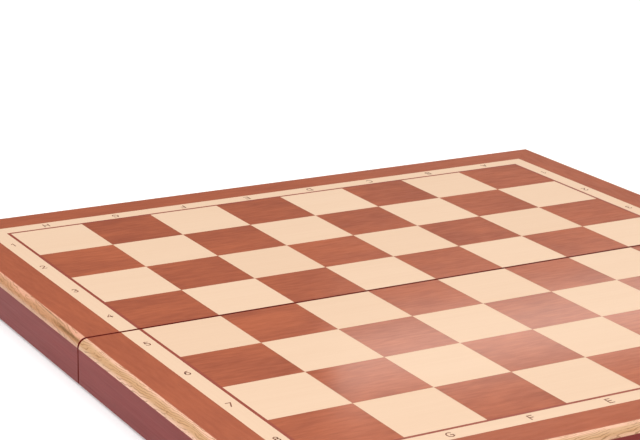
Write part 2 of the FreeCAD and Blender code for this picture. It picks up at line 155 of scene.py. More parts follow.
@dataclass(frozen=True)
class Measures:
    """Main sizes of the board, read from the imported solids.

    Outward distances are from the board's middle to the side rails' faces. The end rails have the same
    distances once half of the fold gap is added.
    """

    half_gap: float
    outer: float
    inner: float
    core_edge: float
    housing: float
    fold_depth: float
    rim: float
    seat: float
    top: float
    strip_inner: float
    strip_outer: float
    veneer_low: float
    field: float

    @classmethod
    def from_frame(cls) -> "Measures":
        """Reads the sizes from the near half's nodes.

        Returns:
            The board's measures.
        """
        rail_low, rail_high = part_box("near_left_rail")
        core_low, core_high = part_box("near_panel_core")
        fold_low, fold_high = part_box("near_fold_rail")
        strip_low, strip_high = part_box("near_left_notation_strip")
        return cls(
            half_gap=-rail_high.y,
            outer=-rail_low.x,
            inner=-rail_high.x,
            core_edge=core_high.x,
            housing=fold_high.x,
            fold_depth=fold_high.y - fold_low.y,
            rim=rail_low.z,
            seat=core_low.z,
            top=rail_high.z,
            strip_inner=-strip_high.x,
            strip_outer=-strip_low.x,
            veneer_low=strip_low.z,
            field=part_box("near_dark_squares")[1].x,
        )

    @property
    def square(self) -> float:
        """Side of one square."""
        return self.field / 4

    @property
    def nose(self) -> float:
        """Radius of the rails' rounded upper edge."""
        return self.outer - self.core_edge

    def place(self, half: Half, edge: Edge, out: Any, along: Any, height: Any) -> np.ndarray:
        """Turns distances on one edge of a half into points.

        On a side edge the outward distance is |x| and the run goes away from the fold. On an end edge the
        outward distance is |y| without the fold gap, and the run goes along x.

        Args:
            half: The half of the board.
            edge: The edge of that half.
            out: Outward distances.
            along: Distances along the edge.
            height: Heights over the floor.

        Returns:
            An array of points with X, Y and Z in its last axis.
        """
        out, along, height = np.broadcast_arrays(out, along, height)
        x = along if edge is Edge.END else edge.value * out
        away = out if edge is Edge.END else along
        return np.stack([x, half.value * (away + self.half_gap), height], axis=-1)


def linked(name: str, data: Any) -> bpy.types.Object:
    """Makes an object and links it to the scene.

    Args:
        name: Name of the object.
        data: Its mesh, lamp or camera, or None for a bare mark.

    Returns:
        The object.
    """
    made = bpy.data.objects.new(name, data)
    bpy.context.scene.collection.objects.link(made)
    return made


def joined_up(source: bpy.types.Mesh, made: bpy.types.Mesh, flat: float | None = None) -> None:
    """Copies a surface with the points at one place made one.

    Args:
        source: The surface.
        made: The mesh that takes it.
        flat: Angle in degrees under which neighbouring faces become one, if any do.
    """
    work = bmesh.new()
    work.from_mesh(source)
    bmesh.ops.remove_doubles(work, verts=work.verts, dist=WELD_REACH)
    if flat is not None:
        bmesh.ops.dissolve_limit(
            work, angle_limit=np.radians(flat), verts=work.verts, edges=work.edges, delimit={"NORMAL"}
        )
    work.to_mesh(made)
    work.free()


def smoothed(mesh: bpy.types.Mesh, sharp: float) -> None:
    """Shades a mesh smooth, apart from its edges over an angle in degrees."""
    mesh.shade_smooth()
    mesh.set_sharp_from_angle(angle=np.radians(sharp))


@dataclass
class Surface:
    """Points and faces of one piece, gathered bar by bar."""

    name: str
    points: list[np.ndarray] = field(default_factory=list)
    corners: list[np.ndarray] = field(default_factory=list)
    chart: list[np.ndarray] = field(default_factory=list)
    finish: list[np.ndarray] = field(default_factory=list)

    def loft(
        self, rings: np.ndarray, chart: np.ndarray, bands: np.ndarray, caps: np.ndarray, cap_finish: int = 0
    ) -> None:
        """Adds a closed bar: a closed section carried through a row of stations and capped at both ends.

        The face of station s and band b joins points b and b + 1 of rings s and s + 1. The faces are then
        turned outwards by the sign of the volume that they enclose.

        Args:
            rings: Points by station and place in the section.
            chart: Surface coordinates by station and place, with one place more to close the section.
            bands: Number of the finish of each band of the section.
            caps: Surface coordinates of the section's points on the two end faces.
            cap_finish: Number of the finish of the end faces.
        """
        stations, places = rings.shape[:2]
        index = np.arange(stations * places).reshape(stations, places)
        after = np.roll(index, -1, axis=1)
        faces = np.stack([index[:-1], after[:-1], after[1:], index[1:]], axis=-1).reshape(-1, 4)
        quads = np.stack([chart[:-1, :-1], chart[:-1, 1:], chart[1:, 1:], chart[1:, :-1]], axis=2)
        ends = np.stack([index[0, ::-1], index[-1]])
        points = rings.reshape(-1, 3)
        volume = sum(
            np.einsum("fi,fki->", points[f[:, 0]], np.cross(points[f[:, 1:-1]], points[f[:, 2:]]))
            for f in (faces, ends)
        )
        turn = slice(None, None, 1 if volume > 0 else -1)
        first = sum(map(len, self.points))
        self.points.append(points)
        for corners, spots, finish in (
            (faces, quads.reshape(-1, 4, 2), np.tile(bands, stations - 1)),
            (ends, np.stack([caps[::-1], caps]), np.full(2, cap_finish)),
        ):
            self.corners.append(corners[:, turn] + first)
            self.chart.append(spots[:, turn])
            self.finish.append(finish)

    def piece(
        self, finishes: list[bpy.types.Material], sharp: float = 32.0, weld: bool = False
    ) -> bpy.types.Object:
        """Makes the object, with its place in its mesh.

        Args:
            finishes: Materials, in the order of the finish numbers.
            sharp: Angle in degrees over which an edge stays sharp.
            weld: Whether points at one place become one, and faces that shrink to a line go.

        Returns:
            The new object, linked to the scene.
        """
        mesh = bpy.data.meshes.new(self.name)
        points = np.concatenate(self.points)
        corners = np.concatenate([c.ravel() for c in self.corners])
        sizes = np.concatenate([np.full(len(c), c.shape[1]) for c in self.corners])
        mesh.vertices.add(len(points))
        mesh.vertices.foreach_set("co", points.ravel())
        mesh.loops.add(len(corners))
        mesh.loops.foreach_set("vertex_index", corners.astype(np.int32))
        mesh.polygons.add(len(sizes))
        mesh.polygons.foreach_set("loop_start", (np.cumsum(sizes) - sizes).astype(np.int32))
        mesh.polygons.foreach_set("material_index", np.concatenate(self.finish).astype(np.int32))
        layer = mesh.uv_layers.new(name="run")
        layer.data.foreach_set("uv", np.concatenate([c.ravel() for c in self.chart]))
        for finish in finishes:
            mesh.materials.append(finish)
        mesh.update(calc_edges=True)
        if weld:
            joined_up(mesh, mesh)
        smoothed(mesh, sharp)
        return linked(self.name, mesh)


def opaque(colour: Any) -> Any:
    """Returns a colour with full alpha, or a socket as it is."""
    return colour if isinstance(colour, Socket) else (*colour, 1.0)


def spaced(inputs: dict[str, Any]) -> dict[str, Any]:
    """Returns inputs with the underscores in their names made spaces."""
    return {name.replace("_", " "): value for name, value in inputs.items()}


class Recipe:
    """A node tree under construction, for a material or for a shared group."""

    def __init__(self, tree: bpy.types.NodeTree) -> None:
        """Starts with an empty tree."""
        self.tree = tree
        tree.nodes.clear()

    def node(self, kind: str, inputs: dict[Any, Any] | None = None, **settings: Any) -> bpy.types.Node:
        """Adds a node.

        Args:
            kind: Type of the node, without the words ShaderNode.
            inputs: Values or sockets for its inputs, by name or number.
            **settings: Properties of the node.

        Returns:
            The node.
        """
        made = self.tree.nodes.new(f"ShaderNode{kind}")
        for name, value in settings.items():
            setattr(made, name, value)
        for name, value in (inputs or {}).items():
            if isinstance(value, Socket):
                self.tree.links.new(value, made.inputs[name])
            else:
                made.inputs[name].default_value = value
        return made

    def math(self, operation: str, *values: Any, clamp: bool = False) -> Socket:
        """Returns the result of a Math node."""
        return self.node("Math", dict(enumerate(values)), operation=operation, use_clamp=clamp).outputs[0]

    def plus(self, base: Any, value: Any, weight: Any) -> Socket:
        """Returns a base plus a value times its weight."""
        return self.math("MULTIPLY_ADD", value, weight, base)

    def centred(self, value: Any) -> Socket:
        """Returns a value from 0 to 1 moved to lie about zero."""
        return self.math("SUBTRACT", value, 0.5)

    def split(self, vector: Any) -> tuple[Socket, ...]:
        """Returns the X, Y and Z of a vector."""
        return tuple(self.node("SeparateXYZ", {0: vector}).outputs)

    def joined(self, x: Any, y: Any, z: Any) -> Socket:
        """Returns the vector of three values."""
        return self.node("CombineXYZ", {0: x, 1: y, 2: z}).outputs[0]

    def scaled(self, vector: Any, rates: tuple[float, ...]) -> Socket:
        """Returns a vector with each axis times a rate."""
        return self.node("VectorMath", {0: vector, 1: rates}, operation="MULTIPLY").outputs[0]

    def over(self, vector: Any, *sizes: Any) -> Socket:
        """Returns a vector with each axis divided by a size."""
        return self.node("VectorMath", {0: vector, 1: self.joined(*sizes)}, operation="DIVIDE").outputs[0]

    def ramp(self, value: Any, band: Band) -> Socket:
        """Returns a value that changes smoothly over a band."""
        inputs = {"From Min": band.start, "From Max": band.end, "To Min": band.before, "To Max": band.after}
        return self.node("MapRange", inputs | {"Value": value}, interpolation_type="SMOOTHSTEP").outputs[0]

    def mix(self, share: Any, first: Any, second: Any) -> Socket:
        """Returns the first colour with a share of the second."""
        inputs = {0: share, 6: opaque(first), 7: opaque(second)}
        return self.node("Mix", inputs, data_type="RGBA").outputs[2]

    def noise(self, vector: Any, seed: Any = 0.0, detail: float = 2.0, rough: float = 0.5) -> Socket:
        """Returns fractal noise of unit grain, from 0 to 1, at a vector.

        Args:
            vector: Where the noise is read.
            seed: Fourth coordinate, which sets pieces apart.
            detail: Number of finer layers.
            rough: Weight of the finer layers.

        Returns:
            The noise value.
        """
        inputs = {"Vector": vector, "W": seed, "Scale": 1.0, "Detail": detail, "Roughness": rough}
        return self.node("TexNoise", inputs, noise_dimensions="4D").outputs[0]

    def shared(self, group: bpy.types.NodeTree, **inputs: Any) -> Sockets:
        """Places a shared group.

        Args:
            group: The group.
            **inputs: Values or sockets for its inputs, with spaces written as underscores.

        Returns:
            The group's outputs by name.
        """
        made = self.node("Group", spaced(inputs), node_tree=group)
        return {socket.name: socket for socket in made.outputs}

    def coordinates(self, mapped: Mapped) -> Socket:
        """Returns the coordinates that a finish follows."""
        return self.node("TexCoord").outputs[mapped.value]

    def relief(self, height: Any, depth: float, strength: float) -> Socket:
        """Returns the normal of a surface whose height changes by a depth."""
        return self.node("Bump", {"Height": height, "Distance": depth, "Strength": strength}).outputs[0]

    def shader(self, **inputs: Any) -> None:
        """Adds the surface shader and the output.

        Args:
            **inputs: Values or sockets for the shader's inputs, with spaces written as underscores.
        """
        surface = self.node("BsdfPrincipled", spaced(inputs))
        self.node("OutputMaterial", {0: surface.outputs[0]})


class EffectRecipe(Recipe):
    """The node tree of a shared effect, which reads a vector and some values and gives values."""

    def __init__(self, name: str, values: list[str], results: list[str]) -> None:
        """Starts the group with its inputs and outputs.

        Args:
            name: Name of the group.
            values: Names of the values that it reads beside the vector.
            results: Names of the values that it gives.
        """
        super().__init__(bpy.data.node_groups.new(name, "ShaderNodeTree"))
        sockets = self.tree.interface
        sockets.new_socket("Vector", in_out="INPUT", socket_type="NodeSocketVector")
        for label in values:
            sockets.new_socket(label, in_out="INPUT", socket_type="NodeSocketFloat")
        for label in results:
            sockets.new_socket(label, in_out="OUTPUT", socket_type="NodeSocketFloat")
        read = self.tree.nodes.new("NodeGroupInput").outputs
        self.given = [read[label] for label in ("Vector", *values)]
        self.result = self.tree.nodes.new("NodeGroupOutput").inputs

    def finished(self, **results: Socket) -> bpy.types.NodeTree:
        """Gives out the results.

        Args:
            **results: Sockets of the results by name.

        Returns:
            The group.
        """
        for label, value in results.items():
            self.tree.links.new(value, self.result[label])
        return self.tree


def new_material(name: str) -> tuple[bpy.types.Material, Recipe]:
    """Makes an empty material with nodes.

    Args:
        name: Name of the finish.

    Returns:
        The material and its recipe.
    """
    made = bpy.data.materials.new(name)
    made.use_nodes = True
    return made, Recipe(made.node_tree)


@dataclass(frozen=True)
class Speckle:
    """Fine noise on a surface: grains a metre along each axis, a seed, and its finer layers."""

    rates: tuple[float, ...]
    seed: float = 0.0
    detail: float = 2.0
    rough: float = 0.5

    def laid(self, recipe: Recipe) -> Socket:
        """Returns the noise, from 0 to 1, laid along the board's axes."""
        place = recipe.scaled(recipe.coordinates(Mapped.BOARD), self.rates)
        return recipe.noise(place, self.seed, self.detail, self.rough)


@dataclass(frozen=True)
class Grain:
    """Size of a wood's grain: length and width of a fibre, sideways drift of its lines, and a seed."""

    length: float
    width: float
    wander: float
    seed: float


@dataclass
class WoodEffects:
    """Shared groups of the wood finishes: grain along a run, the division into squares, the fold's stain and
    painted shade.
    """

    measures: Measures
    grain_group: bpy.types.NodeTree = field(init=False)
    squares_group: bpy.types.NodeTree = field(init=False)
    fold_group: bpy.types.NodeTree = field(init=False)
    drift_size: Point = (110 * MM, 20 * MM, 20 * MM)
    figure_length: float = 3.0
    figure_width: float = 9.0
    vessel_length: float = 4.5 * MM
    vessel_width: float = 0.3 * MM
    vessel_band: Band = Band(0.62, 0.74)
    glue_reach: float = 0.12 * MM
    # Dark red-brown of the fold's edge: partly a real stain, partly painted shade of the gap between the
    # halves.
    fold_stain_and_shade: Colour = (0.170, 0.008, 0.002)
    stain_and_shade_reach: float = 0.5 * MM
    stain_and_shade_rag_size: float = 3 * MM
    stain_and_shade_rag_seed: float = 2.0
    stain_and_shade_rag: float = 0.3
    stain_and_shade_band: Band = Band(1.3, 0.95)

    def __post_init__(self) -> None:
        """Builds the groups once."""
        self.grain_group = self.build_grain()
        self.squares_group = self.build_squares()
        self.fold_group = self.build_fold()

    def build_grain(self) -> bpy.types.NodeTree:
        """Builds the grain along X: noise stretched along the fibres, whose lines drift slowly sideways.

        Figure is the broad light and dark of the wood, Streaks its fibres and Pores its short dark vessels.

        Returns:
            The group.
        """
        recipe = EffectRecipe(
            "wood_grain", ["Length", "Width", "Wander", "Seed"], ["Figure", "Streaks", "Pores"]
        )
        place, length, width, wander, seed = recipe.given
        x, y, z = recipe.split(place)
        drift = recipe.centred(recipe.noise(recipe.over(place, *self.drift_size), seed))
        drifted = recipe.joined(x, recipe.plus(y, drift, wander), z)
        broad_length = recipe.math("MULTIPLY", length, self.figure_length)
        broad_width = recipe.math("MULTIPLY", width, self.figure_width)
        broad = recipe.over(drifted, broad_length, broad_width, broad_width)
        fibres = recipe.over(drifted, length, width, width)
        vessels = recipe.over(drifted, self.vessel_length, self.vessel_width, self.vessel_width)
        return recipe.finished(
            Figure=recipe.noise(broad, seed, rough=0.45),
            Streaks=recipe.noise(fibres, seed, detail=4.0, rough=0.6),
            Pores=recipe.ramp(recipe.noise(vessels, seed, detail=1.0), self.vessel_band),
        )

    def build_squares(self) -> bpy.types.NodeTree:
        """Builds the division of the field: Tone is one random value a square, Seam the glue line round it.

        The cell is floor(x / side) and floor((|y| - gap) / side), told apart by the sign of y.

        Returns:
            The group.
        """
        recipe = EffectRecipe("veneer_squares", ["Side", "Gap", "Glue"], ["Tone", "Seam"])
        place, side, gap, glue = recipe.given
        x, y, _ = recipe.split(place)
        inside = recipe.math("SUBTRACT", recipe.math("ABSOLUTE", y), gap)
        files, ranks = (recipe.math("DIVIDE", distance, side) for distance in (x, inside))
        whole = (recipe.math("FLOOR", count) for count in (files, ranks))
        cell = recipe.joined(*whole, recipe.math("SIGN", y))
        tone = recipe.node("TexWhiteNoise", {"Vector": cell}, noise_dimensions="3D").outputs[0]
        nearest = recipe.math("MINIMUM", *(recipe.math("PINGPONG", count, 0.5) for count in (files, ranks)))
        distance = recipe.math("DIVIDE", recipe.math("MULTIPLY", nearest, side), glue)
        return recipe.finished(Tone=tone, Seam=recipe.math("SUBTRACT", 1.0, distance, clamp=True))

    def build_fold(self) -> bpy.types.NodeTree:
        """Builds the fold's edge, where stain and painted shade lie: 1 on the fold face and beside it, 0 past
        the reach, with an uneven border.

        Returns:
            The group.
        """
        recipe = EffectRecipe("stained_fold_edge", ["Gap", "Reach"], ["Edge"])
        place, gap, reach = recipe.given
        x, y, _ = recipe.split(place)
        inside = recipe.math("SUBTRACT", recipe.math("ABSOLUTE", y), gap)
        along = recipe.math("DIVIDE", x, self.stain_and_shade_rag_size)
        ragged = recipe.noise(recipe.joined(along, 0.0, 0.0), self.stain_and_shade_rag_seed)
        share = recipe.plus(recipe.math("DIVIDE", inside, reach), ragged, self.stain_and_shade_rag)
        return recipe.finished(Edge=recipe.ramp(share, self.stain_and_shade_band))

    def grained(self, recipe: Recipe, place: Any, grain: Grain, seed: Any = None) -> Sockets:
        """Lays a grain along X.

        Args:
            recipe: The material's recipe.
            place: Coordinates of the wood.
            grain: Size of the grain.
            seed: A seed other than the grain's own.

        Returns:
            The grain's Figure, Streaks and Pores.
        """
        return recipe.shared(
            self.grain_group,
            Vector=place,
            Length=grain.length,
            Width=grain.width,
            Wander=grain.wander,
            Seed=grain.seed if seed is None else seed,
        )

    def cut(self, recipe: Recipe, place: Any) -> Sockets:
        """Divides a veneer into the squares of the field.

        Args:
            recipe: The material's recipe.
            place: Coordinates of the veneer.

        Returns:
            The division's Tone and Seam.
        """
        m = self.measures
        return recipe.shared(
            self.squares_group, Vector=place, Side=m.square, Gap=m.half_gap, Glue=self.glue_reach
        )

    def stained_and_shaded_fold(self, recipe: Recipe, colour: Any, coat: float) -> tuple[Socket, Socket]:
        """Lays the dull dark stain and painted shade of the fold edge over a lacquered wood.

        Args:
            recipe: The material's recipe.
            colour: Colour of the wood.
            coat: Weight of its lacquer.

        Returns:
            The colour with the stained edge and its painted shade, and the lacquer without it.
        """
        place, gap = recipe.coordinates(Mapped.BOARD), self.measures.half_gap
        # The fold's edge takes the dark stain and painted shade, and loses its lacquer so that it shows no
        # reflection.
        edge = recipe.shared(self.fold_group, Vector=place, Gap=gap, Reach=self.stain_and_shade_reach)["Edge"]
        left = recipe.math("SUBTRACT", 1.0, edge)
        return recipe.mix(edge, colour, self.fold_stain_and_shade), recipe.math("MULTIPLY", left, coat)


@dataclass(frozen=True)
class Lacquer:
    """Lacquer on a wood: how rough and deep its fibres leave it, its gloss and its clear coat."""

    rough: Band = Band(0.25, 0.75, 0.46, 0.38)
    depth: float = 0.04 * MM
    strength: float = 0.5
    gloss: float = 0.25
    coat: float = 0.45
    coat_rough: float = 0.12

    def lay(self, recipe: Recipe, effects: WoodEffects, colour: Any, streaks: Any, height: Any) -> None:
        """Finishes a wood, stained and painted with shade at the fold's edge.

        Args:
            recipe: The material's recipe.
            effects: Shared groups.
            colour: Colour of the wood.
            streaks: Fibres of the wood.
            height: Relief of the wood.
        """
        colour, coat = effects.stained_and_shaded_fold(recipe, colour, self.coat)
        recipe.shader(
            Base_Color=colour,
            Roughness=recipe.ramp(streaks, self.rough),
            Normal=recipe.relief(height, self.depth, self.strength),
            Specular_IOR_Level=self.gloss,
            Coat_Weight=coat,
            Coat_Roughness=self.coat_rough,
        )


@dataclass(frozen=True)
class Veneer:
    """Lacquered veneer: two tones of one wood, streaked along the grain, with fine open pores.

    The grain runs along X, or along Y where the veneer is turned. Veneer with a tone share is cut into
    squares, each with a tone and a grain of its own.
    """

    name: str
    light: Colour
    deep: Colour
    pore: Colour
    grain: Grain
    contrast: float
    pore_share: float
    tone_share: float = 0.0
    mapped: Mapped = Mapped.BOARD
    turned: bool = False
    lacquer: Lacquer = Lacquer()
    figure_share: float = 0.8
    seam_share: float = 0.45
    seed_spread: float = 40.0

    def wood(self, recipe: Recipe, effects: WoodEffects) -> Sockets:
        """Lays out the wood: the mix of deep and light is 0.5 plus weighted streaks, figure and tone.

        Args:
            recipe: The recipe of the material that shows the wood.
            effects: Shared groups.

        Returns:
            The wood's Colour, Streaks and Pores.
        """
        place = recipe.coordinates(self.mapped)
        if self.turned:
            place = recipe.node("Mapping", {"Vector": place, "Rotation": (0.0, 0.0, np.pi / 2)}).outputs[0]
        shade: Any = 0.5
        seed = None
        if self.tone_share:
            cut = effects.cut(recipe, place)
            seed = recipe.math("MULTIPLY", cut["Tone"], self.seed_spread)
            shade = recipe.plus(shade, recipe.centred(cut["Tone"]), self.tone_share)
        grain = effects.grained(recipe, place, self.grain, seed)
        for part, share in (("Streaks", 1.0), ("Figure", self.figure_share)):
            shade = recipe.plus(shade, recipe.centred(grain[part]), share * self.contrast)
        colour = recipe.mix(recipe.ramp(shade, Band(0.0, 1.0)), self.deep, self.light)
        pores = recipe.math("MULTIPLY", grain["Pores"], self.pore_share)
        colour = recipe.mix(pores, colour, self.pore)
        if self.tone_share:
            colour = recipe.mix(recipe.math("MULTIPLY", cut["Seam"], self.seam_share), colour, self.pore)
        return {"Colour": colour, "Streaks": grain["Streaks"], "Pores": pores}

    def material(self, effects: WoodEffects) -> bpy.types.Material:
        """Builds the finish.

        Args:
            effects: Shared groups.

        Returns:
            The material.
        """
        made, recipe = new_material(self.name)
        wood = self.wood(recipe, effects)
        height = recipe.math("SUBTRACT", 1.0, wood["Pores"])
        self.lacquer.lay(recipe, effects, wood["Colour"], wood["Streaks"], height)
        return made


@dataclass(frozen=True)
class DarkStreak:
    """One dark streak in a wood: its place along and across the run, its half sizes, slope and strength."""

    along: float
    across: float
    half_length: float
    half_width: float
    slope: float
    share: float
    fray: float = 2.4
    edge: Band = Band(2.5, 1.8, 0.0, 0.75)
    middle: Band = Band(1.7, 1.3)

    def over(
        self, recipe: Recipe, colour: Any, tones: tuple[Colour, Colour], place: Any, fibres: Any
    ) -> Socket:
        """Lays the streak over a wood: an ellipse along the run, its edge frayed by the fibres.

        Args:
            recipe: The material's recipe.
            colour: Colour of the wood.
            tones: Colours of the streak's edge and middle.
            place: Coordinates along and across the run.
            fibres: Fibres of the wood.

        Returns:
            The colour with the streak.
        """
        u, v, _ = recipe.split(place)
        along = recipe.math("SUBTRACT", u, self.along)
        across = recipe.plus(recipe.math("SUBTRACT", v, self.across), along, -self.slope)
        far = recipe.math("DIVIDE", along, self.half_length)
        wide = recipe.math("DIVIDE", across, self.half_width)
        reach = recipe.plus(recipe.math("MULTIPLY", far, far), wide, wide)
        reach = recipe.plus(reach, fibres, self.fray)
        for tone, band in zip(tones, (self.edge, self.middle)):
            share = recipe.ramp(reach, band._replace(after=self.share * band.after))
            colour = recipe.mix(share, colour, tone)
        return colour


@dataclass(frozen=True)
class NoseWood:
    """Bare pale wood of the rails' rounded edge: a tan heart between cream edges, growth lines and flecks.

    The border's veneer laps over the start of the rounding, where the rounding has cut through it, and is
    worn back beside the fold.
    """

    name: str
    lip: Veneer
    middle: float
    half_width: float
    cream: Colour = (0.78, 0.44, 0.285)
    tan: Colour = (0.61, 0.35, 0.18)
    brown: Colour = (0.34, 0.155, 0.055)
    dark: Colour = (0.16, 0.070, 0.020)
    streaks: tuple[DarkStreak, ...] = ()
    grain: Grain = Grain(18 * MM, 0.7 * MM, 4 * MM, 1.3)
    dashes: Grain = Grain(3 * MM, 0.8 * MM, 2 * MM, 4.4)
    lacquer: Lacquer = Lacquer(Band(0.25, 0.75, 0.44, 0.34), 0.05 * MM, 0.4, 0.35, 0.3, 0.14)
    heart_push: float = 2.4
    heart_band: Band = Band(0.85, 0.3)
    line_width: float = 1.5 * MM
    line_run: float = 13.0 * MM
    line_push: float = 5.5
    line_wobble: float = 2.5
    line_band: Band = Band(0.5, 1.0, 0.0, 0.85)
    line_fade: Band = Band(0.36, 0.52)
    fibre_band: Band = Band(0.42, 0.28, 0.0, 0.45)
    fleck_band: Band = Band(0.57, 0.68, 0.0, 0.7)
    pore_share: float = 0.2
    lip_band: Band = Band(29.55 * MM, 29.75 * MM)
    lip_wear: Band = Band(2 * MM, 45 * MM, 0.25 * MM, 0.0)
    lip_rag: float = 0.7 * MM

    def material(self, effects: WoodEffects) -> bpy.types.Material:
        """Builds the finish.

        The heart is where the distance from the middle, pushed about by the figure, is small. Growth lines
        are a sine of the distance across, slanted and bent by the same figure, and fade in and out.

        Args:
            effects: Shared groups.

        Returns:
            The material.
        """
        made, recipe = new_material(self.name)
        place = recipe.coordinates(Mapped.RUN)
        grain = effects.grained(recipe, place, self.grain)
        dashes = effects.grained(recipe, place, self.dashes)
        u, v, _ = recipe.split(place)
        push = recipe.centred(grain["Figure"])
        offset = recipe.math("DIVIDE", recipe.math("SUBTRACT", v, self.middle), self.half_width)
        heart = recipe.math("ABSOLUTE", recipe.plus(offset, push, self.heart_push))
        slant = recipe.math("DIVIDE", u, self.line_run)
        phase = recipe.math("SUBTRACT", recipe.math("DIVIDE", v, self.line_width), slant)
        phase = recipe.plus(phase, push, self.line_push)
        phase = recipe.plus(phase, recipe.centred(dashes["Figure"]), self.line_wobble)
        wave = recipe.math("SINE", recipe.math("MULTIPLY", phase, 2 * np.pi))
        fade = recipe.ramp(dashes["Figure"], self.line_fade)
        colour = recipe.mix(recipe.ramp(heart, self.heart_band), self.cream, self.tan)
        for share, tone in (
            (recipe.math("MULTIPLY", recipe.ramp(wave, self.line_band), fade), self.brown),
            (recipe.ramp(grain["Streaks"], self.fibre_band), self.tan),
            (recipe.ramp(dashes["Streaks"], self.fleck_band), self.brown),
        ):
            colour = recipe.mix(share, colour, tone)
        for streak in self.streaks:
            colour = streak.over(recipe, colour, (self.brown, self.dark), place, dashes["Streaks"])
        colour = recipe.mix(recipe.math("MULTIPLY", grain["Pores"], self.pore_share), colour, self.brown)
        colour = self.lapped(recipe, colour, v, push, self.lip.wood(recipe, effects)["Colour"])
        self.lacquer.lay(recipe, effects, colour, grain["Streaks"], grain["Streaks"])
        return made

    def lapped(self, recipe: Recipe, colour: Any, v: Any, push: Any, veneer: Any) -> Socket:
        """Lays the border's veneer over the upper edge, with a ragged border worn back beside the fold.

        Args:
            recipe: The material's recipe.
            colour: Colour of the wood.
            v: Distance across the run.
            push: Figure of the wood, which makes the border ragged.
            veneer: Colour of the veneer.

        Returns:
            The colour with the veneer's lip.
        """
        _, y, _ = recipe.split(recipe.coordinates(Mapped.BOARD))
        worn = recipe.ramp(recipe.math("ABSOLUTE", y), self.lip_wear)
        level = recipe.math("SUBTRACT", recipe.plus(v, push, self.lip_rag), worn)
        return recipe.mix(recipe.ramp(level, self.lip_band), colour, veneer)


@dataclass(frozen=True)
class StainedWood:
    """Frame wood under dark red-brown stain and lacquer, its fibres showing through."""

    name: str
    mapped: Mapped
    light: Colour = (0.222, 0.024, 0.020)
    deep: Colour = (0.180, 0.016, 0.0135)
    pore: Colour = (0.060, 0.010, 0.010)
    grain: Grain = Grain(60 * MM, 1.1 * MM, 3 * MM, 5.1)
    lacquer: Lacquer = Lacquer(Band(0.25, 0.75, 0.52, 0.42), 0.04 * MM, 0.4, 0.16, 0.08, 0.2)
    streak_share: float = 0.55
    tone_band: Band = Band(0.5, 1.05)
    pore_share: float = 0.4

    def material(self, effects: WoodEffects) -> bpy.types.Material:
        """Builds the finish: stain darkens with the fibres and gathers in the pores.

        Args:
            effects: Shared groups.

        Returns:
            The material.
        """
        made, recipe = new_material(self.name)
        grain = effects.grained(recipe, recipe.coordinates(self.mapped), self.grain)
        shade = recipe.plus(grain["Figure"], grain["Streaks"], self.streak_share)
        colour = recipe.mix(recipe.ramp(shade, self.tone_band), self.deep, self.light)
        pores = recipe.math("MULTIPLY", grain["Pores"], self.pore_share)
        colour = recipe.mix(pores, colour, self.pore)
        height = recipe.math("SUBTRACT", grain["Streaks"], pores)
        self.lacquer.lay(recipe, effects, colour, grain["Streaks"], height)
        return made


@dataclass(frozen=True)
class PlyEdge:
    """Plywood core with its fold edge stained: five plies, every other one end grain."""

    name: str
    long_ply: Colour = (0.26, 0.075, 0.05)
    end_ply: Colour = (0.15, 0.035, 0.025)
    plies: int = 5
    grain: Grain = Grain(14 * MM, 0.5 * MM, 1 * MM, 8.2)
    ply_band: Band = Band(0.3, 0.7)
    fibre_band: Band = Band(0.55, 0.3, 0.0, 0.45)
    rough: Band = Band(0.25, 0.75, 0.8, 0.62)
    depth: float = 0.05 * MM
    strength: float = 0.6

    def material(self, effects: WoodEffects) -> bpy.types.Material:
        """Builds the finish: the ply is the whole part of the height shared out among the plies.

        Args:
            effects: Shared groups.

        Returns:
            The material.
        """
        low, high = effects.measures.seat, effects.measures.veneer_low
        made, recipe = new_material(self.name)
        place = recipe.coordinates(Mapped.BOARD)
        streaks = effects.grained(recipe, place, self.grain)["Streaks"]
        _, _, z = recipe.split(place)
        layer = recipe.math("MULTIPLY", recipe.math("SUBTRACT", z, low), self.plies / (high - low))
        odd = recipe.math("PINGPONG", layer, 1.0)
        colour = recipe.mix(recipe.ramp(odd, self.ply_band), self.long_ply, self.end_ply)
        colour = recipe.mix(recipe.ramp(streaks, self.fibre_band), colour, self.end_ply)
        recipe.shader(
            Base_Color=colour,
            Roughness=recipe.ramp(streaks, self.rough),
            Normal=recipe.relief(streaks, self.depth, self.strength),
        )
        return made


@dataclass(frozen=True)
class GreenFelt:
    """Pressed wool felt: matted fibres in two greens with a soft nap."""

    name: str
    light: Colour = (0.030, 0.165, 0.062)
    deep: Colour = (0.012, 0.085, 0.030)
    clumps: Speckle = Speckle((250.0,) * 3)
    fibres: Speckle = Speckle((3000.0,) * 3, 2.0, 3.0, 0.7)
    tone_band: Band = Band(0.35, 0.65)
    rough: Band = Band(0.2, 0.8, 0.98, 0.86)
    depth: float = 0.25 * MM
    strength: float = 0.7
    sheen: float = 0.35
    sheen_rough: float = 0.5

    def material(self) -> bpy.types.Material:
        """Builds the finish: half clumps of about 4 mm, half fibres of about a third of a millimetre.

        Returns:
            The material.
        """
        made, recipe = new_material(self.name)
        clumps, fibres = self.clumps.laid(recipe), self.fibres.laid(recipe)
        nap = recipe.plus(recipe.math("MULTIPLY", clumps, 0.5), fibres, 0.5)
        recipe.shader(
            Base_Color=recipe.mix(recipe.ramp(nap, self.tone_band), self.deep, self.light),
            Roughness=recipe.ramp(fibres, self.rough),
            Normal=recipe.relief(nap, self.depth, self.strength),
            Sheen_Weight=self.sheen,
            Sheen_Roughness=self.sheen_rough,
        )
        return made


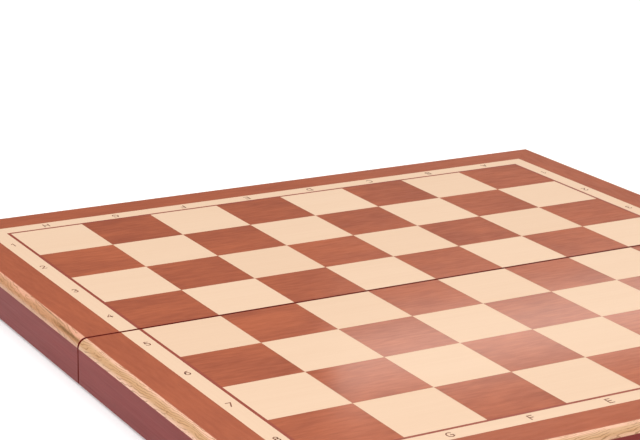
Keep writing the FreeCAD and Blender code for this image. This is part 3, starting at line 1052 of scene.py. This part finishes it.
@dataclass(frozen=True)
class BrushedBrass:
    """Drawn and brushed brass, a little tarnished."""

    name: str
    bright: Colour = (0.82, 0.58, 0.25)
    dull: Colour = (0.50, 0.32, 0.12)
    patches: Speckle = Speckle((240.0,) * 3, 1.0, 3.0)
    scratches: Speckle = Speckle((130.0, 6000.0, 6000.0), 4.0)
    tarnish: Band = Band(0.42, 0.72)
    tarnish_rough: Band = Band(0.4, 0.75, 0.0, 0.14)
    rough: float = 0.2
    scratch_rough: float = 0.25
    depth: float = 0.01 * MM
    strength: float = 0.5

    def material(self) -> bpy.types.Material:
        """Builds the finish: tarnish in patches of some millimetres, fine scratches along X.

        Returns:
            The material.
        """
        made, recipe = new_material(self.name)
        patches, scratches = self.patches.laid(recipe), self.scratches.laid(recipe)
        worn = recipe.plus(self.rough, scratches, self.scratch_rough)
        recipe.shader(
            Base_Color=recipe.mix(recipe.ramp(patches, self.tarnish), self.bright, self.dull),
            Metallic=1.0,
            Roughness=recipe.math("ADD", worn, recipe.ramp(patches, self.tarnish_rough)),
            Normal=recipe.relief(scratches, self.depth, self.strength),
        )
        return made


@dataclass(frozen=True)
class PrintedInk:
    """Thin dark brown print that lets a little of the wood through."""

    name: str
    full: Colour = (0.140, 0.028, 0.012)
    thin: Colour = (0.240, 0.066, 0.034)
    spots: Speckle = Speckle((5000.0,) * 3, 6.0)
    tone_band: Band = Band(0.4, 0.7)
    rough: Band = Band(0.3, 0.7, 0.42, 0.55)
    gloss: float = 0.15

    def material(self) -> bpy.types.Material:
        """Builds the finish: the ink is thinner in spots of about a fifth of a millimetre.

        Returns:
            The material.
        """
        made, recipe = new_material(self.name)
        spots = self.spots.laid(recipe)
        recipe.shader(
            Base_Color=recipe.mix(recipe.ramp(spots, self.tone_band), self.full, self.thin),
            Roughness=recipe.ramp(spots, self.rough),
            Specular_IOR_Level=self.gloss,
        )
        return made


@dataclass(frozen=True)
class Finishes:
    """The materials of all pieces."""

    mahogany_squares: bpy.types.Material
    end_border: bpy.types.Material
    side_border: bpy.types.Material
    stringing: bpy.types.Material
    pale_squares: bpy.types.Material
    pale_inlay: bpy.types.Material
    stained_rail: bpy.types.Material
    stained_fold_rail: bpy.types.Material
    nose: bpy.types.Material
    streaked_nose: bpy.types.Material
    core: bpy.types.Material
    ink: bpy.types.Material
    felt: bpy.types.Material
    brass: bpy.types.Material

    @classmethod
    def build(cls, measures: Measures) -> "Finishes":
        """Builds all materials.

        Args:
            measures: Sizes of the board.

        Returns:
            The materials.
        """
        effects = WoodEffects(measures)
        border = Veneer(
            "mahogany_border",
            light=(0.475, 0.112, 0.037),
            deep=(0.29, 0.055, 0.0165),
            pore=(0.10, 0.018, 0.008),
            grain=Grain(15 * MM, 2.4 * MM, 9 * MM, 3.7),
            contrast=0.6,
            pore_share=0.22,
        )
        squares = replace(border, name="mahogany_squares", contrast=1.05, tone_share=0.22)
        stringing = replace(
            border, name="mahogany_stringing", light=(0.36, 0.062, 0.028), deep=(0.25, 0.038, 0.017)
        )
        inlay = Veneer(
            "pale_inlay",
            light=(0.785, 0.57, 0.405),
            deep=(0.725, 0.50, 0.34),
            pore=(0.50, 0.30, 0.17),
            grain=Grain(60 * MM, 1.6 * MM, 3 * MM, 3.7),
            contrast=0.4,
            pore_share=0.08,
            mapped=Mapped.RUN,
            lacquer=Lacquer(gloss=0.1, coat=0.03),
        )
        pale_squares = replace(inlay, name="pale_squares", mapped=Mapped.BOARD, tone_share=0.3)
        nose = NoseWood("nose_wood", border, middle=24.9 * MM, half_width=4.4 * MM)
        streaked_nose = replace(
            nose,
            name="streaked_nose_wood",
            middle=24.8 * MM,
            half_width=5.0 * MM,
            cream=(0.74, 0.36, 0.225),
            tan=(0.55, 0.27, 0.135),
            streaks=(
                DarkStreak(16 * MM, 25.7 * MM, 26 * MM, 1.3 * MM, 0.02, 0.65),
                DarkStreak(50 * MM, 28.6 * MM, 30 * MM, 0.45 * MM, 0.03, 0.6),
            ),
        )
        return cls(
            mahogany_squares=squares.material(effects),
            end_border=border.material(effects),
            side_border=replace(border, name="mahogany_side_border", turned=True).material(effects),
            stringing=stringing.material(effects),
            pale_squares=pale_squares.material(effects),
            pale_inlay=inlay.material(effects),
            stained_rail=StainedWood("stained_rail", Mapped.RUN).material(effects),
            stained_fold_rail=StainedWood("stained_fold_rail", Mapped.BOARD).material(effects),
            nose=nose.material(effects),
            streaked_nose=streaked_nose.material(effects),
            core=PlyEdge("stained_plywood").material(effects),
            ink=PrintedInk("notation_ink").material(),
            felt=GreenFelt("green_felt").material(),
            brass=BrushedBrass("brushed_brass").material(),
        )


@dataclass
class FrameRails:
    """Left, right and end rails of both halves: one moulded section carried along mitred straight runs."""

    measures: Measures
    finishes: Finishes
    ease: float = 0.6 * MM
    ease_steps: int = 4
    nose_steps: int = 16
    grain_shift: float = 0.7

    def section(self, inner: float) -> np.ndarray:
        """Section of a rail: eased rim, outer wall, quarter-round nose, rebate for the panel, inner wall.

        An arc is its centre plus its radius times the cosine and sine of evenly spaced angles.

        Args:
            inner: Outward distance of the inner wall.

        Returns:
            Outward distance and height of each point, as rows.
        """
        m = self.measures

        def arc(out: float, height: float, radius: float, start: float, end: float, steps: int) -> np.ndarray:
            """Returns points of an arc between two angles in degrees."""
            turn = np.radians(np.linspace(start, end, steps + 1))
            return np.stack([out + radius * np.cos(turn), height + radius * np.sin(turn)], axis=-1)

        low = m.rim + self.ease
        return np.concatenate(
            [
                arc(m.outer - self.ease, low, self.ease, -90, 0, self.ease_steps),
                arc(m.core_edge, m.top - m.nose, m.nose, 0, 90, self.nose_steps),
                [[m.core_edge, m.seat], [m.housing, m.seat], [inner, m.seat]],
                arc(inner + self.ease, low, self.ease, 180, 270, self.ease_steps),
            ]
        )

    def rail(self, half: Half, edge: Edge, shift: float) -> bpy.types.Object:
        """Builds one rail.

        A side rail starts at the fold, where it is housed for the fold rail, and ends on the mitre, where
        the run equals the outward distance. An end rail runs from mitre to mitre.

        Args:
            half: The half of the board.
            edge: The edge of that half.
            shift: Where the rail's grain starts, so that no two rails look alike.

        Returns:
            The rail.
        """
        m = self.measures
        plain = self.section(m.inner)
        if edge is Edge.END:
            sections = np.stack([plain, plain])
            along = np.stack([-plain[:, 0], plain[:, 0]])
        else:
            housed = self.section(m.housing)
            sections = np.stack([housed, housed, plain, plain])
            steps = np.array([0.0, m.fold_depth, m.fold_depth])[:, None]
            along = np.concatenate([np.broadcast_to(steps, (3, len(plain))), plain[None, :, 0]])
        rings = m.place(half, edge, sections[..., 0], along, sections[..., 1])
        closed = np.concatenate([plain, plain[:1]])
        girth = np.concatenate([[0.0], np.cumsum(np.linalg.norm(np.diff(closed, axis=0), axis=1))])
        run = np.concatenate([along, along[:, :1]], axis=1) + shift
        chart = np.stack([run, np.broadcast_to(girth, run.shape)], axis=-1)
        bands = np.zeros(len(plain), int)
        bands[self.ease_steps + 1 : self.ease_steps + 1 + self.nose_steps] = 1
        surface = Surface(half.node(edge.piece("rail_wood")))
        surface.loft(rings, chart, bands, plain)
        streaked = half is Half.FAR and edge is Edge.LEFT
        nose = self.finishes.streaked_nose if streaked else self.finishes.nose
        made = surface.piece([self.finishes.stained_rail, nose], weld=True)
        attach(made, half.body)
        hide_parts(half.node(edge.piece("rail")))
        return made

    def build(self) -> list[bpy.types.Object]:
        """Builds the six rails."""
        places = [(half, edge) for half in (Half.FAR, Half.NEAR) for edge in Edge]
        return [self.rail(*place, self.grain_shift * number) for number, place in enumerate(places)]


@dataclass(frozen=True)
class Lettering:
    """Plain single-line capitals and digits, drawn on a height of one."""

    arc_steps: int = 18

    @staticmethod
    def line(*points: tuple[float, float]) -> np.ndarray:
        """Returns a stroke of straight runs."""
        return np.array(points)

    def arc(self, x: float, y: float, wide: float, tall: float, start: float, end: float) -> np.ndarray:
        """Returns points of an elliptic arc: centre plus half sizes times cosine and sine, in degrees."""
        turn = np.radians(np.linspace(start, end, self.arc_steps + 1))
        return np.stack([x + wide * np.cos(turn), y + tall * np.sin(turn)], axis=-1)

    def bowl(self, x: float, y: float, wide: float, tall: float) -> np.ndarray:
        """Returns a bowl that leaves the stem, turns round to the right and comes back."""
        turned = self.arc(x, y, wide, tall, 90, -90)
        return np.concatenate([[[0.0, y + tall]], turned, [[0.0, y - tall]]])

    def strokes(self, sign: str) -> list[np.ndarray]:
        """Returns the strokes of a sign, each a row of points.

        Args:
            sign: One of A to H or 1 to 8.

        Returns:
            The strokes, from the left edge of the sign and its foot.
        """
        line, arc, bowl = self.line, self.arc, self.bowl
        stem = line((0.0, 0.0), (0.0, 1.0))
        drawn = {
            "A": [line((0.0, 0.0), (0.36, 1.0), (0.72, 0.0)), line((0.13, 0.35), (0.59, 0.35))],
            "B": [stem, bowl(0.32, 0.76, 0.24, 0.24), bowl(0.34, 0.26, 0.27, 0.26)],
            "C": [arc(0.4, 0.5, 0.4, 0.5, 50, 310)],
            "D": [stem, bowl(0.24, 0.5, 0.43, 0.5)],
            "E": [line((0.55, 1.0), (0.0, 1.0), (0.0, 0.0), (0.55, 0.0)), line((0.0, 0.52), (0.5, 0.52))],
            "F": [line((0.55, 1.0), (0.0, 1.0), (0.0, 0.0)), line((0.0, 0.52), (0.48, 0.52))],
            "G": [np.concatenate([arc(0.4, 0.5, 0.4, 0.5, 50, 320), line((0.71, 0.45), (0.42, 0.45))])],
            "H": [stem, stem + (0.66, 0.0), line((0.0, 0.52), (0.66, 0.52))],
            "1": [line((0.08, 0.78), (0.32, 1.0), (0.32, 0.0))],
            "2": [np.concatenate([arc(0.28, 0.72, 0.27, 0.28, 165, -40), line((0.0, 0.0), (0.58, 0.0))])],
            "3": [arc(0.26, 0.76, 0.24, 0.24, 150, -90), arc(0.26, 0.26, 0.28, 0.26, 90, -150)],
            "4": [line((0.46, 0.0), (0.46, 1.0), (0.0, 0.27), (0.62, 0.27))],
            "5": [line((0.5, 1.0), (0.1, 1.0), (0.06, 0.53)), arc(0.27, 0.32, 0.28, 0.32, 138, -148)],
            "6": [arc(0.29, 0.3, 0.28, 0.3, 0, 360), arc(0.62, 0.3, 0.61, 0.7, 100, 178)],
            "7": [line((0.0, 1.0), (0.56, 1.0), (0.18, 0.0))],
            "8": [arc(0.29, 0.76, 0.23, 0.24, 0, 360), arc(0.29, 0.26, 0.28, 0.26, 0, 360)],
        }
        return drawn[sign]


@dataclass
class NotationStrips:
    """The six pale strips round the playing field with their printed letters and digits."""

    measures: Measures
    finishes: Finishes
    lettering: Lettering = Lettering()
    height: float = 5.0 * MM
    stroke: float = 0.7 * MM
    mitre_limit: float = 0.5
    print_thick: float = 0.02 * MM
    digit_shift: float = 1.8 * MM
    letter_shift: float = -2.8 * MM

    def ribbon(self, line: np.ndarray) -> np.ndarray:
        """Widens a stroke into a flat ribbon with mitred corners and square ends.

        At each point the offset is the sum of the two neighbouring normals over one plus their product.

        Args:
            line: Points of the stroke.

        Returns:
            Left and right point of the ribbon at each point of the stroke.
        """
        way = np.diff(line, axis=0)
        way = way / np.linalg.norm(way, axis=1, keepdims=True)
        line = line.copy()
        line[0] -= way[0] * self.stroke / 2
        line[-1] += way[-1] * self.stroke / 2
        normal = np.stack([-way[:, 1], way[:, 0]], axis=-1)
        before = np.concatenate([normal[:1], normal])
        after = np.concatenate([normal, normal[-1:]])
        share = np.maximum(1.0 + (before * after).sum(axis=1, keepdims=True), self.mitre_limit)
        offset = (before + after) / share * self.stroke / 2
        return np.stack([line + offset, line - offset], axis=1)

    def printed(self, surface: Surface, sign: str, middle: np.ndarray, upright: float) -> None:
        """Prints one sign on a strip, each stroke a thin closed bar half sunk into the wood.

        Args:
            surface: The strip.
            sign: The letter or digit.
            middle: Middle of the sign's upper face.
            upright: 1 if the sign stands upright for the near side, -1 for the far side.
        """
        strokes = [line * self.height for line in self.lettering.strokes(sign)]
        every = np.concatenate(strokes)
        centre = (every.min(axis=0) + every.max(axis=0)) / 2
        sunk = np.array([0.0, 0.0, -2 * self.print_thick, -2 * self.print_thick])
        for line in strokes:
            flat = self.ribbon(line - centre)[:, [0, 1, 1, 0]] * upright
            rings = np.concatenate([flat, np.broadcast_to(sunk, flat.shape[:2])[..., None]], axis=-1)
            chart = np.concatenate([flat, flat[:, :1]], axis=1)
            surface.loft(rings + middle, chart, np.ones(4, int), flat[0], 1)

    def strip(self, half: Half, edge: Edge) -> bpy.types.Object:
        """Builds one strip: an oblong section carried along a mitred run, with its signs on top.

        Args:
            half: The half of the board.
            edge: The edge of that half.

        Returns:
            The strip.
        """
        m = self.measures
        high = m.top - self.print_thick
        out = np.array([m.strip_inner, m.strip_outer, m.strip_outer, m.strip_inner])
        level = np.array([m.veneer_low, m.veneer_low, high, high])
        along = np.stack([-out if edge is Edge.END else 0 * out, out])
        rings = m.place(half, edge, out, along, level)
        run = np.concatenate([along, along[:, :1]], axis=1)
        across = np.broadcast_to([*(out + level), out[0] + level[0]], run.shape)
        chart = np.stack([run, across], axis=-1)
        surface = Surface(half.node(edge.piece("notation_inlay")))
        surface.loft(rings, chart, np.zeros(4, int), np.stack([out, level], axis=-1))
        middle = (m.strip_inner + m.strip_outer) / 2
        if edge is Edge.END:
            signs, steps = "HGFEDCBA", np.arange(8) - 3.5
            drift = np.array([self.letter_shift, 0.0, 0.0])
        else:
            signs, steps = ("5678" if half is Half.NEAR else "4321"), np.arange(4) + 0.5
            drift = np.array([0.0, self.digit_shift, 0.0])
        nearer = edge is Edge.LEFT or (edge is Edge.END and half is Half.NEAR)
        upright = 1.0 if nearer else -1.0
        for sign, step in zip(signs, steps):
            spot = m.place(half, edge, middle, step * m.square, m.top)
            self.printed(surface, sign, spot + upright * drift, upright)
        made = surface.piece([self.finishes.pale_inlay, self.finishes.ink])
        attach(made, half.body)
        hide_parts(half.node(edge.piece("notation_strip")))
        return made

    def build(self) -> list[bpy.types.Object]:
        """Builds the six strips."""
        return [self.strip(half, edge) for half in Half for edge in Edge]


@dataclass
class TrayLinings:
    """Felt sheets glued to the panels, inside the two trays."""

    finishes: Finishes
    stations: int = 90
    columns: int = 44
    lift: float = 0.12 * MM
    long_wave: tuple[float, float] = (9.1, 2.0)
    cross_wave: tuple[float, float] = (-1.7, 6.3)
    edge_roll: float = 0.45 * MM
    roll_power: int = 120
    sharp: float = 50.0

    def lining(self, half: Half) -> bpy.types.Object:
        """Builds one lining.

        The lower face is flat apart from soft swells, a product of two sines, and rolls up at the cut edges
        with a high power of the distance from the middle.

        Args:
            half: The half of the board.

        Returns:
            The lining.
        """
        node = half.node("felt_lining")
        low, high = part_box(node)
        s = np.linspace(-1.0, 1.0, self.stations)[:, None]
        t = np.linspace(-1.0, 1.0, self.columns)[None, :]
        waves = [np.sin(wave[0] * s + wave[1] * t) for wave in (self.long_wave, self.cross_wave)]
        swell = 0.5 + 0.5 * waves[0] * waves[1]
        roll = np.maximum(np.abs(s), np.abs(t)) ** self.roll_power
        lower = low.z + self.lift * swell * (1.0 - roll) + self.edge_roll * roll
        x = np.broadcast_to((low.x + high.x) / 2 + s * (high.x - low.x) / 2, lower.shape)
        y = np.broadcast_to((low.y + high.y) / 2 + t * (high.y - low.y) / 2, lower.shape)
        under = np.stack([x, y, lower], axis=-1)
        back = under[:, [-1, 0]].copy()
        back[..., 2] = high.z
        rings = np.concatenate([under, back], axis=1)
        chart = np.concatenate([rings, rings[:, :1]], axis=1)[..., :2]
        surface = Surface(half.node("felt_sheet"))
        surface.loft(rings, chart, np.zeros(rings.shape[1], int), rings[0, :, 1:])
        made = surface.piece([self.finishes.felt], sharp=self.sharp)
        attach(made, half.body)
        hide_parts(node)
        half.node("panel_core")
        return made

    def build(self) -> list[bpy.types.Object]:
        """Builds both linings."""
        return [self.lining(half) for half in Half]


@dataclass
class PlayingSurface:
    """Panels, squares, stringing and borders of both halves, which keep their solids' shapes."""

    finishes: Finishes

    def dress(self, nodes: dict[str, bpy.types.Object]) -> list[bpy.types.Object]:
        """Gives each solid its finish.

        Args:
            nodes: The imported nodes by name.

        Returns:
            The dressed nodes.
        """
        chosen = {
            "dark_squares": self.finishes.mahogany_squares,
            "light_squares": self.finishes.pale_squares,
            "panel_core": self.finishes.core,
            "fold_rail": self.finishes.stained_fold_rail,
        }
        for edge in Edge:
            border = self.finishes.end_border if edge is Edge.END else self.finishes.side_border
            chosen[edge.piece("stringing")] = self.finishes.stringing
            chosen[edge.piece("border_veneer")] = border
        dressed = []
        for half in Half:
            for piece, finish in chosen.items():
                node = nodes[half.node(piece)]
                for place in node.material_slots:
                    place.material = finish
                dressed.append(node)
        return dressed


@dataclass
class BrassFittings:
    """Hinges, hooks and their screws: the solids' shapes with softened edges and smooth rounds."""

    finishes: Finishes
    kinds: tuple[str, ...] = (
        "hinge_near_leaf",
        "hinge_far_leaf",
        "hinge_pin",
        "hook",
        "hook_washer",
        "hook_screw",
        "catch_screw",
    )
    flat: float = 0.5
    sharp: float = 35.0
    edge_width: float = 0.1 * MM
    edge_steps: int = 2
    sliver: float = 0.002 * MM

    def names(self) -> list[str]:
        """Returns the nodes of all fittings."""
        sides = [f"{side}_{kind}" for side in ("left", "right") for kind in self.kinds]
        return sides + [half.node("hinge_screws") for half in Half]

    def fitting(self, node: bpy.types.Object) -> bpy.types.Object:
        """Builds one fitting: the solid's surface joined up, its flat faces made whole, its edges softened.

        Args:
            node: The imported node.

        Returns:
            The fitting.
        """
        mesh = bpy.data.meshes.new(f"{node.name}_brass")
        joined_up(node.data, mesh, self.flat)
        mesh.materials.clear()
        mesh.materials.append(self.finishes.brass)
        smoothed(mesh, self.sharp)
        made = linked(mesh.name, mesh)
        soft = made.modifiers.new("softened_edges", "BEVEL")
        soft.width = self.edge_width
        soft.segments = self.edge_steps
        soft.limit_method = "ANGLE"
        soft.angle_limit = np.radians(self.sharp)
        soft.harden_normals = True
        made.modifiers.new("joined_slivers", "WELD").merge_threshold = self.sliver
        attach(made, body_of(node)[0])
        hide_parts(node.name)
        return made

    def build(self, nodes: dict[str, bpy.types.Object]) -> list[bpy.types.Object]:
        """Builds all fittings.

        Args:
            nodes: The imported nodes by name.

        Returns:
            The fittings.
        """
        return [self.fitting(nodes[name]) for name in self.names()]


@dataclass(frozen=True)
class Softbox:
    """A soft lamp that faces a point of the board, rolled by an angle in degrees about the line to it."""

    name: str
    at: Point
    size: tuple[float, float]
    power: float
    tint: Colour = (1.0, 1.0, 1.0)
    aim: Point = (0.0, 0.0, 0.02)
    roll: float = 0.0

    def build(self) -> bpy.types.Object:
        """Hangs the lamp, its face turned to its aim.

        Returns:
            The lamp.
        """
        lamp = bpy.data.lights.new(self.name, "AREA")
        lamp.shape = "RECTANGLE"
        lamp.size, lamp.size_y = self.size
        lamp.energy = self.power
        lamp.color = self.tint
        made = linked(self.name, lamp)
        made.location = self.at
        facing = (Vector(self.aim) - Vector(self.at)).to_track_quat("-Z", "Y")
        made.rotation_euler = (facing @ Quaternion((0.0, 0.0, 1.0), np.radians(self.roll))).to_euler()
        return made


@dataclass
class Studio:
    """White floor, soft light and the picture's camera."""

    measures: Measures
    floor_half: float = 30.0
    floor_tint: Colour = (0.86, 0.86, 0.86)
    floor_rough: float = 0.9
    floor_glow: float = 0.22
    mottle: Speckle = Speckle((6.0,) * 3)
    mottle_shade: float = 0.985
    dome: Band = Band(0.3, 0.85, 0.12, 2.0)
    lens: float = 112.02
    sensor: float = 36.0
    clip: tuple[float, float] = (0.01, 200.0)
    eye: Point = (-0.64954, -0.96916, 0.41770)
    look: Point = (0.48216, 0.826685, -0.290025)
    right: Point = (0.866998, -0.497806, 0.022425)
    lamps: tuple[Softbox, ...] = (
        Softbox("key_softbox", (-1.5, -1.0, 1.2), (1.2, 1.2), 14.0),
        Softbox("fill_softbox", (1.6, -0.9, 1.2), (1.4, 1.4), 5.0),
        Softbox("sheen_softbox", (1.35, 1.77, 0.865), (0.65, 0.1), 0.95, (1.0, 0.85, 0.75), roll=15.0),
    )

    def floor_material(self) -> bpy.types.Material:
        """Builds the floor's paint, with a faint mottle.

        Returns:
            The material.
        """
        made, recipe = new_material("floor_paint")
        darker = tuple(self.mottle_shade * c for c in self.floor_tint)
        recipe.shader(
            Base_Color=recipe.mix(self.mottle.laid(recipe), self.floor_tint, darker),
            Roughness=self.floor_rough,
            Emission_Color=(1.0, 1.0, 1.0, 1.0),
            Emission_Strength=self.floor_glow,
        )
        return made

    def floor(self) -> bpy.types.Object:
        """Lays the floor under the open board, or lower where a folded half or a hook needs the room.

        Returns:
            The floor.
        """
        mesh = bpy.data.meshes.new("floor")
        reach = self.floor_half
        square = [(-reach, -reach, 0.0), (reach, -reach, 0.0), (reach, reach, 0.0), (-reach, reach, 0.0)]
        mesh.from_pydata(square, [], [(0, 1, 2, 3)])
        mesh.materials.append(self.floor_material())
        made = linked("floor", mesh)
        made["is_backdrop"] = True
        for name, body, spot in self.lowest_points():
            mark = linked(name, None)
            mark.location = spot
            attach(mark, body)
            limit = made.constraints.new("FLOOR")
            limit.target = mark
            limit.floor_location = "FLOOR_NEGATIVE_Z"
        return made

    def lowest_points(self) -> list[tuple[str, str, Vector]]:
        """Finds the points that may come lowest as the board folds.

        Returns:
            A name, a body and a place for each point.
        """
        m = self.measures
        end = m.outer + m.half_gap
        marks = [
            ("far_rim_mark", Half.FAR.body, Vector((0.0, end, m.rim))),
            ("far_top_mark", Half.FAR.body, Vector((0.0, end, m.top))),
            ("fold_top_mark", Half.FAR.body, Vector((0.0, m.half_gap, m.top))),
        ]
        for hook in ("left_hook", "right_hook"):
            low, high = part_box(hook)
            for end_name, x in (("low", low.x), ("high", high.x)):
                spot = Vector((x, low.y, (low.z + high.z) / 2))
                marks.append((f"{hook}_{end_name}_mark", hook, spot))
        return marks

    def light(self) -> None:
        """Lights the room: a white dome, dimmer towards the horizon, and the soft lamps."""
        world = bpy.data.worlds.new("studio_sky")
        world.use_nodes = True
        recipe = Recipe(world.node_tree)
        _, _, up = recipe.split(recipe.node("TexCoord").outputs["Generated"])
        seen = recipe.node("LightPath").outputs["Is Camera Ray"]
        glow = recipe.math("MAXIMUM", recipe.ramp(up, self.dome), seen)
        sky = recipe.node("Background", {"Strength": glow})
        recipe.node("OutputWorld", {0: sky.outputs[0]})
        bpy.context.scene.world = world
        for lamp in self.lamps:
            lamp.build()

    def camera(self) -> bpy.types.Object:
        """Sets up the camera where the picture was taken.

        Returns:
            The camera.
        """
        data = bpy.data.cameras.new("picture_camera")
        data.sensor_fit = "HORIZONTAL"
        data.sensor_width = self.sensor
        data.lens = self.lens
        data.clip_start, data.clip_end = self.clip
        made = linked("picture_camera", data)
        right, look = Vector(self.right), Vector(self.look)
        turn = Matrix((right, right.cross(look), -look)).transposed()
        made.matrix_world = Matrix.Translation(self.eye) @ turn.to_4x4()
        bpy.context.scene.camera = made
        return made

    def build(self) -> None:
        """Builds the floor, the lights and the camera."""
        self.floor()
        self.light()
        self.camera()
        bpy.context.scene.view_settings.view_transform = "Standard"


def report(kind: str, pieces: list[bpy.types.Object]) -> None:
    """Logs each piece of a kind with the number of its faces."""
    for piece in pieces:
        LOG.info("%s: %s, %d faces", kind, piece.name, len(piece.data.polygons))


def corners() -> list[list[float]]:
    """Returns the lowest and highest corner of what shows, as plain lists."""
    return [list(corner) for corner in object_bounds()]


def main() -> None:
    """Builds the board's pieces in order."""
    logging.basicConfig(level=logging.INFO, format="%(name)s: %(message)s")
    for old in list(bpy.data.objects):
        bpy.data.objects.remove(old)
    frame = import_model()
    nodes = frame["nodes"]
    measures = Measures.from_frame()
    finishes = Finishes.build(measures)
    report("solid", PlayingSurface(finishes).dress(nodes))
    report("rail", FrameRails(measures, finishes).build())
    report("notation", NotationStrips(measures, finishes).build())
    report("felt", TrayLinings(finishes).build())
    report("brass", BrassFittings(finishes).build(nodes))
    Studio(measures).build()


if __name__ == "__main__":
    main()
